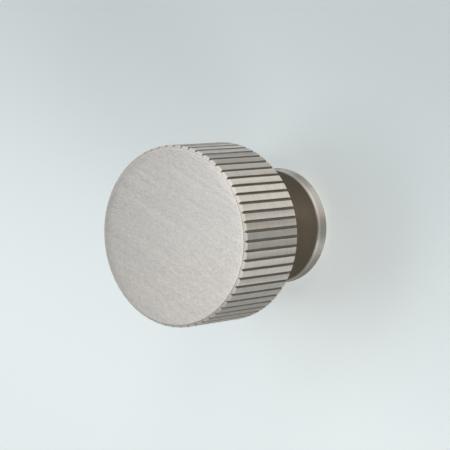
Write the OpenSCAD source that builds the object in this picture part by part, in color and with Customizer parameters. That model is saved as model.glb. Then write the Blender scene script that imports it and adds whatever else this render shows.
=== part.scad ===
// Knurled cabinet knob, turned in one piece: a round head with straight grooves and a flat,
// chamfered end, a plain neck, and a round foot that a screw pulls against a door or drawer.
// The knob's axis is +Z, and the origin is the centre of the foot's mounting face.

/* [Knob] */
// Height from the mounting face to the flat end of the head
knob_h = 30; // [26:0.5:40]

/* [Head] */
// Diameter of the head over its ribs
head_d = 30; // [24:0.5:40]
// Length of the head along the axis
head_len = 14.25; // [8:0.25:18]
// Leg of the 45 degree chamfer round the flat end
end_chamfer = 0.45; // [0.2:0.05:1]
// Radius that softens both edges of that chamfer
end_edge_r = 0.1; // [0.02:0.02:0.2]
// Leg of the small chamfer round the back of the head
back_chamfer = 0.15; // [0.05:0.05:0.5]

/* [Knurl] */
// Number of straight grooves round the head
groove_count = 60; // [30:1:72]
// Width of a groove between its two walls, just under the ribs
groove_w = 0.46; // [0.3:0.02:0.6]
// Width of a groove's flat floor
groove_floor_w = 0.14; // [0.06:0.02:0.2]
// Depth of a groove below the ribs
groove_depth = 0.3; // [0.2:0.02:0.5]
// Leg of the worn shoulder between a rib and a groove wall
rib_shoulder = 0.05; // [0.02:0.01:0.08]

/* [Neck] */
// Diameter of the neck
neck_d = 10; // [8:0.5:12]
// Radius of the fillets where the neck meets the head and the foot
neck_fillet_r = 0.4; // [0.1:0.1:1]

/* [Foot] */
// Diameter of the foot
foot_d = 20; // [16:0.5:24]
// Thickness of the foot
foot_t = 2.4; // [1.5:0.1:4]
// Leg of the small chamfer round both edges of the foot's rim
foot_chamfer = 0.1; // [0.05:0.05:0.4]

/* [Screw hole] */
// Bore of the hole, at the outside diameter of the screw's thread
screw_d = 4; // [3:0.5:5]
// Depth of the bore from the mounting face to the start of the drill point
hole_depth = 12; // [8:0.5:16]
// Leg of the 45 degree lead-in at the mouth of the hole
hole_lead_in = 0.5; // [0.2:0.1:0.8]
// Angle of the drill point at the end of the hole
drill_angle = 118; // [90:1:140]

/* [Hidden] */
$fn = 180;
// How far a cutter reaches past the surface that it cuts
overcut = 0.5;
// Straight steps in each rounding of the turned outline
arc_steps = 5;
head_r = head_d / 2;
neck_r = neck_d / 2;
foot_r = foot_d / 2;
screw_r = screw_d / 2;
head_back_z = knob_h - head_len;
drill_point_h = screw_r / tan(drill_angle / 2);
// Distance from the sharp corner of the end chamfer to where its rounding starts
end_tangent = end_edge_r * tan(45 / 2);

// Points of an arc about a centre, with the radius r, between two angles
function arc(centre, r, from, to) =
    [for (i = [0:arc_steps]) let (a = from + (to - from) * i / arc_steps)
        centre + r * [cos(a), sin(a)]];

// Half of the knob's section, with the radius as x and the height as y
module turned_outline() {
    foot_rim = [
        [foot_r - foot_chamfer, 0],
        [foot_r, foot_chamfer],
        [foot_r, foot_t - foot_chamfer],
        [foot_r - foot_chamfer, foot_t]
    ];
    neck_side = concat(
        arc([neck_r + neck_fillet_r, foot_t + neck_fillet_r], neck_fillet_r, 270, 180),
        arc([neck_r + neck_fillet_r, head_back_z - neck_fillet_r], neck_fillet_r, 180, 90)
    );
    head_back = [
        [head_r - back_chamfer, head_back_z],
        [head_r, head_back_z + back_chamfer]
    ];
    head_end = concat(
        arc([head_r - end_edge_r, knob_h - end_chamfer - end_tangent], end_edge_r, 0, 45),
        arc([head_r - end_chamfer - end_tangent, knob_h - end_edge_r], end_edge_r, 45, 90)
    );
    polygon(concat([[0, 0]], foot_rim, neck_side, head_back, head_end, [[0, knob_h]]));
}

// Section of one groove, with y = 0 on its middle and x = 0 at the top of the ribs
module groove_section() {
    mouth = groove_w / 2;
    floor_half = groove_floor_w / 2;
    polygon([
        [overcut, -mouth - rib_shoulder],
        [0, -mouth - rib_shoulder],
        [-rib_shoulder, -mouth],
        [-groove_depth, -floor_half],
        [-groove_depth, floor_half],
        [-rib_shoulder, mouth],
        [0, mouth + rib_shoulder],
        [overcut, mouth + rib_shoulder]
    ]);
}

// Straight grooves, cut along the whole length of the head
module knurl_grooves() {
    for (i = [0:groove_count - 1])
        rotate([0, 0, i * 360 / groove_count])
            translate([head_r, 0, head_back_z - overcut])
                linear_extrude(head_len + 2 * overcut) groove_section();
}

// Blind hole for the fixing screw, with a lead-in at its mouth and a drill point at its end
module screw_hole() {
    translate([0, 0, -overcut]) cylinder(r = screw_r, h = hole_depth + overcut);
    translate([0, 0, -overcut])
        cylinder(r1 = screw_r + hole_lead_in + overcut, r2 = screw_r, h = hole_lead_in + overcut);
    translate([0, 0, hole_depth]) cylinder(r1 = screw_r, r2 = 0, h = drill_point_h);
}

module knob() {
    color([0.78, 0.75, 0.7])
        difference() {
            rotate_extrude() turned_outline();
            knurl_grooves();
            screw_hole();
        }
}

knob();
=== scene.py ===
# Knurled cabinet knob in brushed satin nickel, standing on the mounting face of its foot.
# Lengths are written in millimetres and turned into metres by MM. The knob's axis is +Z.
import math

import bmesh
import bpy
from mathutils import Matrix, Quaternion, Vector


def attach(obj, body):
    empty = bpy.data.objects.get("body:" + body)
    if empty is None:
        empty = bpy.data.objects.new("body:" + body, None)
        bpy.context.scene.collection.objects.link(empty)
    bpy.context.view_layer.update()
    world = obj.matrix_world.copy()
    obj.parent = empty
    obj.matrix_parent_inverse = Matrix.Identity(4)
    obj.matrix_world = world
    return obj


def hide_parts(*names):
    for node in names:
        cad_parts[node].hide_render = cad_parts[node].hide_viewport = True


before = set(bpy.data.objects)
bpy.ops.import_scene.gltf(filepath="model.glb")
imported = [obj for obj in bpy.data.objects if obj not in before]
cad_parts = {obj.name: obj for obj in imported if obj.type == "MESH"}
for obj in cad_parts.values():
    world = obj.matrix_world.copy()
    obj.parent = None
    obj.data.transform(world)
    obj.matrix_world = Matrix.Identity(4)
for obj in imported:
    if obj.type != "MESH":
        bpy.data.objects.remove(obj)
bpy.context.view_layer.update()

MM = 0.001

# ---------------------------------------------------------------- sizes of the knob
KNOB_H = 30.0
HEAD_R = 15.0
HEAD_BACK_Z = 15.75
END_CHAMFER = 0.45
BACK_CHAMFER = 0.15
GROOVES = 60
GROOVE_W = 0.46
GROOVE_FLOOR_W = 0.14
GROOVE_DEPTH = 0.3
RIB_SHOULDER = 0.05
NECK_R = 5.0
NECK_FILLET_R = 0.4
FOOT_R = 10.0
FOOT_T = 2.4
FOOT_CHAMFER = 0.1
SCREW_R = 2.0
HOLE_DEPTH = 12.0
HOLE_LEAD_IN = 0.5
DRILL_ANGLE = 118.0

# Radius of the flat end, inside its chamfer
END_R = HEAD_R - END_CHAMFER

# ---------------------------------------------------------------- detail too fine for the solid
# Radii of the worn edges
END_EDGE_R = 0.05
BACK_EDGE_R = 0.06
GROOVE_EDGE_R = 0.06
GROOVE_CORNER_R = 0.05
FOOT_EDGE_R = 0.15
FOOT_FRONT_R = 0.45
# The ring round the flat end, worn a little lower at its edge, and the fine line between it and the
# chamfer
RING_W = 0.2
RING_DROP = 0.008
LINE_W = 0.07
LINE_DEPTH = 0.012
# How far the middle of a rib lies below its two edges
RIB_HOLLOW = 0.027
# Share of the shoulder that a groove's wall reaches over, and the plain rib beside it
WALL_REACH = 0.4
RIB_MARGIN = 0.12
# Depths in a groove from which its points leave the round of the head, and its painted shade starts
ROUND_DOWN = 0.02
GROOVE_SHADE_DOWN = 0.012
# Distance of the side's plain rows from both ends of the head
SIDE_INSET = 1.2
# Least leg of the back chamfer inside a groove, and the strip of the head's back inside it
BACK_LEG_MIN = 0.03
BACK_STRIP_W = 0.35
# The screw thread: its pitch, its least radius, and the shares of a pitch at its root and crest
THREAD_PITCH = 0.7
THREAD_MINOR_R = 1.62
THREAD_ROOT = 0.16
THREAD_CREST = 0.26
# Where the thread starts above the lead-in and ends below the drill point, and how fast it fades
THREAD_START = 0.02
THREAD_END = 0.4
THREAD_FADE = 0.35
# Blunt share of the drill point
DRILL_TIP = 0.1

# ---------------------------------------------------------------- fineness of the mesh
# Points round a turned ring and round the screw hole
ROUND = 360
HOLE_ROUND = 120
# Steps from a groove's edge to the middle of a rib, and in one pitch of the thread
RIB_STEPS = 5
THREAD_STEPS = 16
# Radius of the inner ring on both flat sides of the head
INNER_RING_R = 13.0
# Points closer than this, in metres, are one point
MERGE_DISTANCE = 1e-7

# ---------------------------------------------------------------- slots of the finishes
FACE, RING, LINE, CHAMFER, SIDE, GROOVE, RECESS, RIM, TURNED, BORE = range(10)
# Rows of faces that each finish takes down the head's side, before the side itself
RING_ROWS = 1
LINE_ROWS = 2
CHAMFER_ROWS = 5
# Heights above the mounting face and below the foot's front that still count as flat
FLAT_BAND = 0.05
FRONT_BAND = 0.02
# Share of the foot's front rounding, from the rim inwards, that has the turned finish
FRONT_ROUND_SHARE = 0.8


# ---------------------------------------------------------------- outline helpers
def fillet(points, radii, steps=4):
    """The polyline with each inner corner rounded to the radius given for it."""
    out = [points[0]]
    for i in range(1, len(points) - 1):
        p, a, b = Vector(points[i]), Vector(points[i - 1]), Vector(points[i + 1])
        r = radii[i - 1]
        u, v = (a - p).normalized(), (b - p).normalized()
        half = u.angle(v) / 2
        tangent = r / math.tan(half)
        centre = p + (u + v).normalized() * (r / math.sin(half))
        start = p + u * tangent - centre
        end = p + v * tangent - centre
        turn = math.atan2(start.x * end.y - start.y * end.x, start.dot(end))
        for k in range(steps + 1):
            c, s = math.cos(turn * k / steps), math.sin(turn * k / steps)
            x = centre.x + start.x * c - start.y * s
            y = centre.y + start.x * s + start.y * c
            out.append((x, y))
    out.append(points[-1])
    return out


def pitch_columns():
    """(angle, radius, whether it takes the groove's painted shade) across one pitch of the knurl,
    between two groove middles.
    """
    half_pitch = math.pi / GROOVES
    mouth, floor_half = GROOVE_W / 2, GROOVE_FLOOR_W / 2
    wall = [
        (0.0, GROOVE_DEPTH),
        (floor_half, GROOVE_DEPTH),
        (mouth + RIB_SHOULDER * WALL_REACH, 0.0),
        (mouth + RIB_SHOULDER + RIB_MARGIN, 0.0),
    ]
    section = fillet(wall, (GROOVE_CORNER_R, GROOVE_EDGE_R))
    half = []
    for across, down in section[:-1]:
        x = HEAD_R - down
        radius = math.hypot(x, across) if down > ROUND_DOWN else x
        half.append((math.atan2(across, x), radius, down > GROOVE_SHADE_DOWN))
    rib_edge = half[-1][0]
    rib_half = half_pitch - rib_edge
    for k in range(1, RIB_STEPS + 1):
        half.append((rib_edge + rib_half * k / RIB_STEPS, HEAD_R, False))
    shaped = []
    for angle, radius, dark in half:
        if angle > rib_edge:
            u = (half_pitch - angle) / rib_half
            radius -= RIB_HOLLOW * (1 - u * u)
        shaped.append((angle, radius, dark))
    mirrored = [(2 * half_pitch - a, r, dark) for a, r, dark in reversed(shaped[:-1])]
    return shaped + mirrored[:-1]


def head_column(radius):
    """(radius, height) down one column of the head's side, from the flat end to its back."""
    slope = (END_CHAMFER - RING_DROP) / END_CHAMFER

    def chamfer_z(r):
        return KNOB_H - RING_DROP - (r - END_R) * slope

    line_out = END_R + LINE_W / 2
    ring = [
        (END_R - RING_W, KNOB_H),
        (END_R - LINE_W / 2, KNOB_H - RING_DROP),
        (END_R, KNOB_H - RING_DROP - LINE_DEPTH),
    ]
    top = fillet(
        [
            (line_out, chamfer_z(line_out)),
            (radius, chamfer_z(radius)),
            (radius, KNOB_H - SIDE_INSET),
        ],
        (END_EDGE_R,),
    )
    leg = max(BACK_LEG_MIN, BACK_CHAMFER - (HEAD_R - radius))
    edge = min(BACK_EDGE_R, leg)
    bottom = fillet(
        [
            (radius, HEAD_BACK_Z + SIDE_INSET),
            (radius, HEAD_BACK_Z + leg),
            (radius - leg, HEAD_BACK_Z),
            (END_R - BACK_STRIP_W, HEAD_BACK_Z),
        ],
        (edge, edge),
        steps=3,
    )
    return ring + top + bottom


# ---------------------------------------------------------------- mesh building
class Shell:
    """Rings of vertices joined by faces, in one bmesh."""

    def __init__(self):
        self.bm = bmesh.new()

    def ring(self, points):
        return [self.bm.verts.new((x * MM, y * MM, z * MM)) for x, y, z in points]

    def circle(self, radius, z, count):
        points = []
        for k in range(count):
            a = 2 * math.pi * k / count
            points.append((radius * math.cos(a), radius * math.sin(a), z))
        return self.ring(points)

    def face(self, verts, slot):
        face = self.bm.faces.new(verts)
        face.material_index = slot
        return face

    def join(self, a, b, slot):
        """Faces between two rings; the longer ring has a whole multiple of the other's points."""
        many, few = (a, b) if len(a) >= len(b) else (b, a)
        ratio = len(many) // len(few)
        for k in range(len(few)):
            outer = [many[(k * ratio + i) % len(many)] for i in range(ratio + 1)]
            face = self.face([few[k]] + outer + [few[(k + 1) % len(few)]], slot)
            if many is b:
                face.normal_flip()


def side_finish(row, in_groove):
    """The finish of a face in a row of the head's side, counted from the flat end."""
    if row < RING_ROWS:
        return RING
    if row < RING_ROWS + LINE_ROWS:
        return LINE
    if row < RING_ROWS + LINE_ROWS + CHAMFER_ROWS:
        return CHAMFER
    return GROOVE if in_groove else SIDE


def knurled_side(shell):
    """The head's side and the edges round both its ends. Returns the first and the last ring."""
    columns = []
    in_groove = []
    pitch = pitch_columns()
    for g in range(GROOVES):
        turn = 2 * math.pi * g / GROOVES
        for angle, radius, dark in pitch:
            c, s = math.cos(turn + angle), math.sin(turn + angle)
            columns.append([(r * c, r * s, z) for r, z in head_column(radius)])
            in_groove.append(dark)
    rings = [shell.ring(points) for points in zip(*columns)]
    count = len(columns)
    for row, (top, low) in enumerate(zip(rings, rings[1:])):
        for k in range(count):
            n = (k + 1) % count
            dark = in_groove[k] and in_groove[n]
            shell.face([top[k], low[k], low[n], top[n]], side_finish(row, dark))
    # Both sides of the fine line keep their own shading
    for row in (RING_ROWS, RING_ROWS + LINE_ROWS):
        for k in range(count):
            edge = shell.bm.edges.get((rings[row][k], rings[row][(k + 1) % count]))
            edge.smooth = False
    return rings[0], rings[-1]


def flat_end(shell, edge):
    """The flat end of the head, inside its last ring."""
    inner = shell.circle(INNER_RING_R, KNOB_H, ROUND)
    shell.join(inner, edge, FACE)
    shell.face(inner, FACE)


def turned_finish(r, z):
    """The finish of the turned surface at a radius and a height, below the head's side."""
    if r < NECK_R + NECK_FILLET_R / 2:
        return RIM if z > FOOT_T else TURNED
    front_r = FOOT_R - FOOT_FRONT_R * FRONT_ROUND_SHARE
    # Above the foot's front, and on that front under the head, the surface takes the recess's
    # painted shade
    if z > FOOT_T or (z > FOOT_T - FRONT_BAND and r < front_r):
        return RECESS
    if z < FLAT_BAND or z > FOOT_T - FOOT_FRONT_R:
        return TURNED
    return RIM


def back_neck_and_foot(shell, edge):
    """The head's back inside its last ring, the neck and the foot, up to the screw hole's mouth."""
    last = shell.circle(INNER_RING_R, HEAD_BACK_Z, ROUND)
    # The head's back takes the recess's painted shade
    shell.join(edge, last, RECESS)
    outline = fillet(
        [
            (INNER_RING_R, HEAD_BACK_Z),
            (NECK_R, HEAD_BACK_Z),
            (NECK_R, FOOT_T),
            (FOOT_R, FOOT_T),
            (FOOT_R, FOOT_CHAMFER),
            (FOOT_R - FOOT_CHAMFER, 0.0),
            (SCREW_R + HOLE_LEAD_IN, 0.0),
        ],
        (NECK_FILLET_R, NECK_FILLET_R, FOOT_FRONT_R, FOOT_EDGE_R, FOOT_EDGE_R),
        steps=6,
    )
    for (last_r, last_z), (r, z) in zip(outline, outline[1:-1]):
        ring = shell.circle(r, z, ROUND)
        shell.join(last, ring, turned_finish((r + last_r) / 2, (z + last_z) / 2))
        last = ring
    mouth = shell.circle(SCREW_R + HOLE_LEAD_IN, 0.0, HOLE_ROUND)
    shell.join(last, mouth, TURNED)
    return mouth


def thread_radius(phase):
    """Radius of the thread's surface at a place along the pitch, from 0 to 1."""
    flank = (1 - THREAD_ROOT - THREAD_CREST) / 2
    height = SCREW_R - THREAD_MINOR_R
    p = phase % 1.0
    if p < THREAD_ROOT:
        return SCREW_R
    if p < THREAD_ROOT + flank:
        return SCREW_R - height * (p - THREAD_ROOT) / flank
    if p < THREAD_ROOT + flank + THREAD_CREST:
        return THREAD_MINOR_R
    return THREAD_MINOR_R + height * (p - THREAD_ROOT - flank - THREAD_CREST) / flank


def screw_hole(shell, mouth):
    """The lead-in, the thread as a helix of rings, and the drill point."""
    last = shell.circle(SCREW_R, HOLE_LEAD_IN, HOLE_ROUND)
    shell.join(mouth, last, BORE)
    low, high = HOLE_LEAD_IN + THREAD_START, HOLE_DEPTH - THREAD_END
    rows = int((high - low) / THREAD_PITCH * THREAD_STEPS) + THREAD_STEPS
    for row in range(1 - THREAD_STEPS, rows):
        r = thread_radius(row / THREAD_STEPS)
        points = []
        for k in range(HOLE_ROUND):
            z = low + THREAD_PITCH * (row / THREAD_STEPS + k / HOLE_ROUND)
            z = min(max(z, low), high)
            fade = max(0.0, min(1.0, (z - low) / THREAD_FADE, (high - z) / THREAD_FADE))
            faded_r = SCREW_R + (r - SCREW_R) * fade
            a = 2 * math.pi * k / HOLE_ROUND
            points.append((faded_r * math.cos(a), faded_r * math.sin(a), z))
        ring = shell.ring(points)
        shell.join(last, ring, BORE)
        last = ring
    end = shell.circle(SCREW_R, HOLE_DEPTH, HOLE_ROUND)
    shell.join(last, end, BORE)
    point = SCREW_R / math.tan(math.radians(DRILL_ANGLE / 2))
    tip = shell.circle(SCREW_R * DRILL_TIP, HOLE_DEPTH + point * (1 - DRILL_TIP), HOLE_ROUND)
    shell.join(end, tip, BORE)
    shell.face(tip, BORE)


def build_knob():
    """The whole knob as one closed mesh."""
    shell = Shell()
    top, back = knurled_side(shell)
    flat_end(shell, top)
    mouth = back_neck_and_foot(shell, back)
    screw_hole(shell, mouth)
    bm = shell.bm
    bmesh.ops.remove_doubles(bm, verts=bm.verts, dist=MERGE_DISTANCE)
    bmesh.ops.dissolve_degenerate(bm, edges=bm.edges, dist=MERGE_DISTANCE)
    bmesh.ops.recalc_face_normals(bm, faces=bm.faces)
    mesh = bpy.data.meshes.new("knob_body")
    bm.to_mesh(mesh)
    bm.free()
    obj = bpy.data.objects.new("knob_body", mesh)
    bpy.context.scene.collection.objects.link(obj)
    mesh.shade_smooth()
    weighted = obj.modifiers.new("weighted_normals", "WEIGHTED_NORMAL")
    weighted.mode = "FACE_AREA"
    weighted.weight = 100
    weighted.keep_sharp = True
    return obj


# ---------------------------------------------------------------- materials
# Keeps the noise off the planes where its layers meet at zero
NOISE_OFFSET = (17.31, 5.73, 9.17)
# The band that holds most of the noise
NOISE_LOW = 0.3
NOISE_HIGH = 0.7
NOISE_DETAIL = 3.0
NOISE_ROUGHNESS = 0.6
# Relief of the finest lines
BUMP_STRENGTH = 0.1
BUMP_DEPTH = 0.01
# Turns the highlight of round lines, so that it spreads across them
QUARTER_TURN = 0.25


class Nodes:
    """Small helper that adds and links shader nodes."""

    def __init__(self, name):
        self.mat = bpy.data.materials.new(name)
        self.mat.use_nodes = True
        self.tree = self.mat.node_tree
        self.shader = self.tree.nodes["Principled BSDF"]

    def add(self, kind, **settings):
        node = self.tree.nodes.new(kind)
        for key, value in settings.items():
            setattr(node, key, value)
        return node

    def link(self, a, b):
        self.tree.links.new(a, b)

    def value(self, node, name, value):
        node.inputs[name].default_value = value

    def spread(self, source, low, high):
        """The middle band of a noise, stretched to run from low to high."""
        node = self.add("ShaderNodeMapRange")
        self.value(node, "From Min", NOISE_LOW)
        self.value(node, "From Max", NOISE_HIGH)
        self.value(node, "To Min", low)
        self.value(node, "To Max", high)
        self.link(source, node.inputs["Value"])
        return node.outputs[0]


def round_lines(n, coords):
    """Lines that run round the axis. Returns the places along them and across them."""
    split = n.add("ShaderNodeSeparateXYZ")
    n.link(coords, split.inputs[0])
    flat = n.add("ShaderNodeCombineXYZ")
    n.link(split.outputs["X"], flat.inputs["X"])
    n.link(split.outputs["Y"], flat.inputs["Y"])
    # A vector of one length all the way round, so that the pattern has no seam
    unit = n.add("ShaderNodeVectorMath", operation="NORMALIZE")
    n.link(flat.outputs[0], unit.inputs[0])
    along = n.add("ShaderNodeVectorMath", operation="SCALE")
    n.value(along, "Scale", HEAD_R * MM)
    n.link(unit.outputs[0], along.inputs[0])
    length = n.add("ShaderNodeVectorMath", operation="LENGTH")
    n.link(flat.outputs[0], length.inputs[0])
    across = n.add("ShaderNodeMath", operation="ADD")
    n.link(length.outputs["Value"], across.inputs[0])
    n.link(split.outputs["Z"], across.inputs[1])
    tangent = n.add("ShaderNodeTangent", direction_type="RADIAL", axis="Z")
    n.value(n.shader, "Anisotropic Rotation", QUARTER_TURN)
    n.link(tangent.outputs[0], n.shader.inputs["Tangent"])
    return along.outputs[0], across.outputs["Value"]


def straight_lines(n, coords, turn):
    """Straight lines on a flat end, turned from +X. Returns the places along and across them."""
    line = Vector((math.cos(turn), math.sin(turn), 0.0))
    side = Vector((-line.y, line.x, 0.0))
    dot = n.add("ShaderNodeVectorMath", operation="DOT_PRODUCT")
    n.link(coords, dot.inputs[0])
    dot.inputs[1].default_value = line
    along = n.add("ShaderNodeCombineXYZ")
    n.link(dot.outputs["Value"], along.inputs["X"])
    across = n.add("ShaderNodeVectorMath", operation="DOT_PRODUCT")
    n.link(coords, across.inputs[0])
    across.inputs[1].default_value = side
    tangent = n.add("ShaderNodeCombineXYZ")
    n.value(tangent, "X", side.x)
    n.value(tangent, "Y", side.y)
    n.link(tangent.outputs[0], n.shader.inputs["Tangent"])
    return along.outputs[0], across.outputs["Value"]


def grain_noise(n, along, across, along_rate, across_rate):
    """One layer of noise, drawn out along the lines. The rates are in waves per metre."""
    run = n.add("ShaderNodeVectorMath", operation="MULTIPLY_ADD")
    n.link(along, run.inputs[0])
    run.inputs[1].default_value = (along_rate, along_rate, along_rate)
    run.inputs[2].default_value = NOISE_OFFSET
    rate = n.add("ShaderNodeMath", operation="MULTIPLY_ADD")
    n.link(across, rate.inputs[0])
    rate.inputs[1].default_value = across_rate
    rate.inputs[2].default_value = NOISE_OFFSET[0]
    noise = n.add("ShaderNodeTexNoise", noise_dimensions="4D")
    n.value(noise, "Scale", 1.0)
    n.value(noise, "Detail", NOISE_DETAIL)
    n.value(noise, "Roughness", NOISE_ROUGHNESS)
    n.link(run.outputs[0], noise.inputs["Vector"])
    n.link(rate.outputs[0], noise.inputs["W"])
    return noise.outputs["Fac"]


def brushed(name, colour, rough, grain, tint, aniso=0.0, turn=None, rough_var=0.05):
    """Brushed metal with long, fine lines.

    grain holds the waves per metre along the lines and across them of each layer, from the
    coarsest to the finest, and tint how far each layer changes the colour. turn is the direction
    of straight lines, in radians from +X, or None where the lines run round the axis."""
    n = Nodes(name)
    n.value(n.shader, "Metallic", 1.0)
    n.value(n.shader, "Anisotropic", aniso)
    coords = n.add("ShaderNodeTexCoord").outputs["Object"]
    if turn is None:
        along, across = round_lines(n, coords)
    else:
        along, across = straight_lines(n, coords, turn)
    layers = [grain_noise(n, along, across, *rates) for rates in grain]
    level = None
    for noise, amount in zip(layers, tint):
        total = n.add("ShaderNodeMath", operation="ADD")
        n.link(n.spread(noise, -amount, amount), total.inputs[0])
        if level is None:
            total.inputs[1].default_value = 1.0
        else:
            n.link(level, total.inputs[1])
        level = total.outputs[0]
    paint = n.add("ShaderNodeVectorMath", operation="SCALE")
    paint.inputs[0].default_value = colour
    n.link(level, paint.inputs["Scale"])
    n.link(paint.outputs[0], n.shader.inputs["Base Color"])
    grit = n.spread(layers[0], rough - rough_var, rough + rough_var)
    n.link(grit, n.shader.inputs["Roughness"])
    relief = n.add("ShaderNodeBump")
    n.value(relief, "Strength", BUMP_STRENGTH)
    n.value(relief, "Distance", BUMP_DEPTH * MM)
    n.link(layers[-1], relief.inputs["Height"])
    n.link(relief.outputs[0], n.shader.inputs["Normal"])
    return n.mat


NICKEL = (0.745, 0.685, 0.615)
# Painted highlight: the chamfer is coloured lighter than the nickel
CHAMFER_PAINTED_HIGHLIGHT = (0.95, 0.885, 0.81)
# Painted highlight: the ring round the flat end is coloured lighter than the nickel
RING_PAINTED_HIGHLIGHT = (0.88, 0.81, 0.73)
# Painted shade: the fine line is coloured darker than the nickel, broken into dots by its noise
LINE_PAINTED_SHADE = (0.66, 0.6, 0.53)
# Painted shade: the grooves are coloured far darker than the nickel, to stand in for the shade
# inside them
GROOVE_PAINTED_SHADE = (0.25, 0.222, 0.19)
# Painted shade: the head's back and the foot's front under it are coloured darker than the nickel
RECESS_PAINTED_SHADE = (0.41, 0.355, 0.29)
RIM_GREY = (0.60, 0.56, 0.505)
BORE_GREY = (0.55, 0.53, 0.5)
# Direction of the brushed lines on the flat end
FACE_TURN = math.radians(59.0)
FACE_GRAIN = ((60, 200), (60, 1500), (750, 3500), (1800, 7000))
FACE_TINT = (0.02, 0.05, 0.045, 0.16)
ROUND_GRAIN = ((120, 2500), (300, 8000))
DOTTED_GRAIN = ((2500, 500), (6000, 500))

FINISHES = {
    FACE: brushed(
        "brushed_nickel_face",
        NICKEL,
        0.42,
        FACE_GRAIN,
        FACE_TINT,
        aniso=0.5,
        turn=FACE_TURN,
        rough_var=0.015,
    ),
    RING: brushed("painted_highlight_ring", RING_PAINTED_HIGHLIGHT, 0.42, ROUND_GRAIN, (0.02, 0.03)),
    LINE: brushed("end_line_painted_shade", LINE_PAINTED_SHADE, 0.55, DOTTED_GRAIN, (0.4, 0.35)),
    CHAMFER: brushed("painted_highlight_chamfer", CHAMFER_PAINTED_HIGHLIGHT, 0.6, ROUND_GRAIN, (0.02, 0.03)),
    SIDE: brushed("brushed_nickel_side", NICKEL, 0.5, ROUND_GRAIN, (0.05, 0.10), aniso=1.0),
    GROOVE: brushed("painted_shade_groove", GROOVE_PAINTED_SHADE, 0.55, ROUND_GRAIN, (0.05, 0.05)),
    RECESS: brushed("painted_shade_recess", RECESS_PAINTED_SHADE, 0.5, ROUND_GRAIN, (0.02, 0.04), aniso=0.2),
    RIM: brushed("rim_nickel", RIM_GREY, 0.5, ROUND_GRAIN, (0.02, 0.04), aniso=1.0),
    TURNED: brushed("turned_nickel", NICKEL, 0.45, ROUND_GRAIN, (0.02, 0.04), aniso=0.9),
    BORE: brushed("cut_thread", BORE_GREY, 0.4, ROUND_GRAIN, (0.05, 0.05), aniso=0.3),
}

knob = build_knob()
for slot in sorted(FINISHES):
    knob.data.materials.append(FINISHES[slot])
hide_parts("knob")
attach(knob, "root")

# ---------------------------------------------------------------- floor
# Half the floor's width, and how far it lies below the foot
FLOOR_HALF = 1500.0
FLOOR_DROP = 0.2
FLOOR_COLOUR = (0.88, 0.945, 0.935, 1.0)
FLOOR_ROUGH = 0.6
FLOOR_LIGHT = (0.95, 1.0, 0.99, 1.0)
# How much light the floor adds at its bright end and at its dull one, and the slope between them,
# per metre along X and Y
FLOOR_LIFT = (0.46, 0.17)
FLOOR_SLOPE = (20.0, -8.0, 0.0)


def pale_floor():
    """A pale material that adds a little light of its own, so that it shows as a backdrop."""
    n = Nodes("pale_floor")
    n.value(n.shader, "Base Color", FLOOR_COLOUR)
    n.value(n.shader, "Roughness", FLOOR_ROUGH)
    n.value(n.shader, "Emission Color", FLOOR_LIGHT)
    path = n.add("ShaderNodeLightPath")
    seen = path.outputs["Is Camera Ray"]
    for ray in ("Is Glossy Ray", "Is Transmission Ray"):
        either = n.add("ShaderNodeMath", operation="MAXIMUM")
        n.link(seen, either.inputs[0])
        n.link(path.outputs[ray], either.inputs[1])
        seen = either.outputs[0]
    place = n.add("ShaderNodeTexCoord")
    slope = n.add("ShaderNodeVectorMath", operation="DOT_PRODUCT")
    n.link(place.outputs["Object"], slope.inputs[0])
    slope.inputs[1].default_value = FLOOR_SLOPE
    fade = n.add("ShaderNodeMapRange", interpolation_type="SMOOTHSTEP")
    n.value(fade, "From Min", -1.0)
    n.value(fade, "From Max", 1.0)
    n.value(fade, "To Min", FLOOR_LIFT[0])
    n.value(fade, "To Max", FLOOR_LIFT[1])
    n.link(slope.outputs["Value"], fade.inputs["Value"])
    lift = n.add("ShaderNodeMath", operation="MULTIPLY")
    n.link(seen, lift.inputs[0])
    n.link(fade.outputs[0], lift.inputs[1])
    n.link(lift.outputs[0], n.shader.inputs["Emission Strength"])
    return n.mat


half = FLOOR_HALF * MM
corners = [(-half, -half, 0), (half, -half, 0), (half, half, 0), (-half, half, 0)]
floor_mesh = bpy.data.meshes.new("floor")
floor_mesh.from_pydata(corners, [], [(0, 1, 2, 3)])
floor_mesh.materials.append(pale_floor())
floor = bpy.data.objects.new("floor", floor_mesh)
bpy.context.scene.collection.objects.link(floor)
floor.location.z = -FLOOR_DROP * MM

# ---------------------------------------------------------------- camera
CAMERA_PLACE = Vector((7.45, -228.55, 314.54))
CAMERA_AIM = Vector((1.12, -3.34, 20.0))
CAMERA_ROLL = -95.89
CAMERA_LENS = 178.32
CAMERA_SENSOR = 36.0

cam_data = bpy.data.cameras.new("camera")
cam_data.sensor_width = CAMERA_SENSOR
cam_data.lens = CAMERA_LENS
cam_data.clip_start = 10 * MM
cam_data.clip_end = 10000 * MM
camera = bpy.data.objects.new("camera", cam_data)
bpy.context.scene.collection.objects.link(camera)
view = CAMERA_AIM - CAMERA_PLACE
roll = Quaternion((0.0, 0.0, 1.0), math.radians(CAMERA_ROLL))
camera.location = CAMERA_PLACE * MM
camera.rotation_mode = "QUATERNION"
camera.rotation_quaternion = view.to_track_quat("-Z", "Y") @ roll
bpy.context.scene.camera = camera

# ---------------------------------------------------------------- lights
LAMP_AIM = Vector((0.0, 0.0, 18.0))
LAMP_DISTANCE = 400.0
CAMERA_AZIMUTH = math.degrees(math.atan2(-view.x, view.y))
WORLD_LEVEL = 0.07
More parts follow.
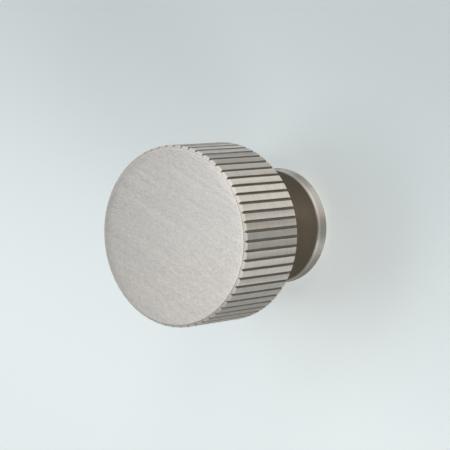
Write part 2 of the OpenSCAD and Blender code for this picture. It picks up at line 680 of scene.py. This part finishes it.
# Tints of the lamps
WHITE = (1.0, 1.0, 1.0)
WARM = (1.0, 0.87, 0.73)
COOL = (0.95, 0.97, 1.0)
SKY = (0.82, 0.89, 1.0)
BLUE = (0.69, 0.84, 1.0)
# name, azimuth from the camera's side and elevation in degrees, width, height, radiance and tint
LAMPS = (
    ("low_003", 3, 8, 80, 100, 1.95, WARM),
    ("low_020", 20, 8, 160, 100, 4.9, WHITE),
    ("low_042", 42, 8, 160, 100, 5.5, WHITE),
    ("low_100", 100, 8, 160, 100, 2.85, SKY),
    ("low_290", 290, 8, 160, 100, 0.95, SKY),
    ("low_334", 334, 8, 160, 100, 1.3, WHITE),
    ("low_352", 352, 8, 80, 100, 1.5, BLUE),
    ("mid_067", 67, 28, 150, 140, 2.3, WHITE),
    ("mid_315", 315, 28, 150, 140, 3.1, COOL),
    ("high_135", 135, 64, 170, 140, 1.95, BLUE),
    ("rear_high", 180, 64, 160, 140, 2.5, COOL),
    ("rear_135", 135, 22, 240, 140, 0.65, WHITE),
    ("rear_225", 225, 22, 240, 140, 0.65, WHITE),
)


def soft_lamp(name, azimuth, elevation, width, height, radiance, tint):
    """A rectangular lamp that looks at the knob. A radiance of 1 shows white."""
    data = bpy.data.lights.new(name, "AREA")
    data.shape = "RECTANGLE"
    data.size = width * MM
    data.size_y = height * MM
    data.energy = math.pi * data.size * data.size_y * radiance
    data.color = tint
    a, e = math.radians(azimuth + CAMERA_AZIMUTH), math.radians(elevation)
    way = Vector((math.sin(a) * math.cos(e), -math.cos(a) * math.cos(e), math.sin(e)))
    lamp = bpy.data.objects.new(name, data)
    lamp.location = (LAMP_AIM + way * LAMP_DISTANCE) * MM
    lamp.rotation_mode = "QUATERNION"
    lamp.rotation_quaternion = (-way).to_track_quat("-Z", "Y")
    bpy.context.scene.collection.objects.link(lamp)


for row in LAMPS:
    soft_lamp(*row)
world = bpy.data.worlds.new("studio")
world.use_nodes = True
background = world.node_tree.nodes["Background"]
background.inputs["Color"].default_value = (1.0, 1.0, 1.0, 1.0)
background.inputs["Strength"].default_value = WORLD_LEVEL
bpy.context.scene.world = world
bpy.context.scene.view_settings.view_transform = "Standard"
